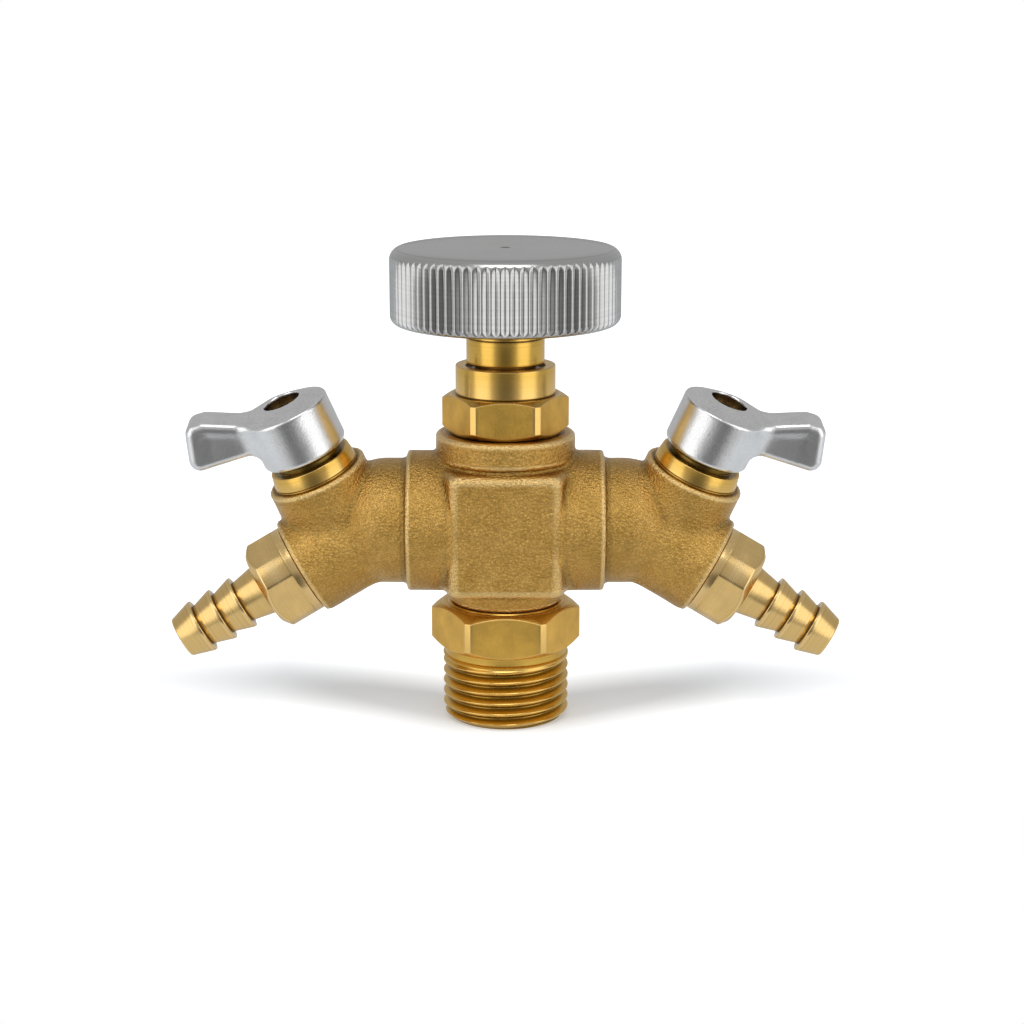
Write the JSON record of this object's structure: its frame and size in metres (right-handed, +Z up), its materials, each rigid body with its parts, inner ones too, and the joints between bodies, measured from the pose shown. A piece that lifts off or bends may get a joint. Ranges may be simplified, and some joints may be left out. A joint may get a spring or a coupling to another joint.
{
  "type": "twin outlet valve",
  "caption": "Brass valve with a threaded inlet at its foot, a hand-wheel stop valve above and, on each arm, a lever-operated plug cock with a barbed hose tail.",
  "frame": {"origin": "centre of the inlet thread's end face, on which the valve stands", "axes": "+Z up along the inlet and spindle axis, X along the two arms, -Y the front in the picture"},
  "size_m": [0.1108, 0.0376, 0.0788],
  "materials": {
    "cast_brass": "sand cast, pebbled, satin",
    "turned_brass": "turned, bright",
    "satin_silver": "satin",
    "rubber": "matt",
    "fibre": "matt"
  },
  "bodies": {
    "body": {"inlet_nipple": "turned_brass", "inlet_washer": "fibre", "valve_body": "cast_brass", "bonnet": "turned_brass", "bonnet_gasket": "fibre", "left_thrust_washer": "fibre", "left_gland_nut": "turned_brass", "left_hose_barb": "turned_brass", "left_barb_washer": "fibre", "right_thrust_washer": "fibre", "right_gland_nut": "turned_brass", "right_hose_barb": "turned_brass", "right_barb_washer": "fibre"},
    "jumper": {"valve_disc": "turned_brass", "seat_washer": "rubber", "seat_washer_screw": "turned_brass"},
    "hand_wheel": {"spindle": "turned_brass", "spindle_seals": "rubber", "spindle_collar": "turned_brass", "knob": "satin_silver"},
    "left_cock": {"left_plug": "turned_brass", "left_plug_seals": "rubber", "left_lever": "satin_silver", "left_lever_screw": "turned_brass"},
    "right_cock": {"right_plug": "turned_brass", "right_plug_seals": "rubber", "right_lever": "satin_silver", "right_lever_screw": "turned_brass"}
  },
  "joints": [
    {"name": "disc_lift", "type": "slide", "parent": "body", "child": "jumper", "axis": [0, 0, 1], "range_m": [0, 0.003]},
    {"name": "spindle_turn", "type": "hinge", "parent": "jumper", "child": "hand_wheel", "pos_m": [0, 0, 0.06], "axis": [0, 0, 1], "range_deg": [0, 720]},
    {"name": "left_cock_turn", "type": "hinge", "parent": "body", "child": "left_cock", "pos_m": [-0.02756, 0, 0.03355], "axis": [-0.3843, -0.1603, 0.9092], "range_deg": [-90, 0]},
    {"name": "right_cock_turn", "type": "hinge", "parent": "body", "child": "right_cock", "pos_m": [0.02756, 0, 0.03355], "axis": [0.3843, -0.1603, 0.9092], "range_deg": [-90, 0]}
  ],
  "couplings": [
    {"joint": "disc_lift", "follows": "spindle_turn", "m_per_rad": 0.00023873}
  ]
}
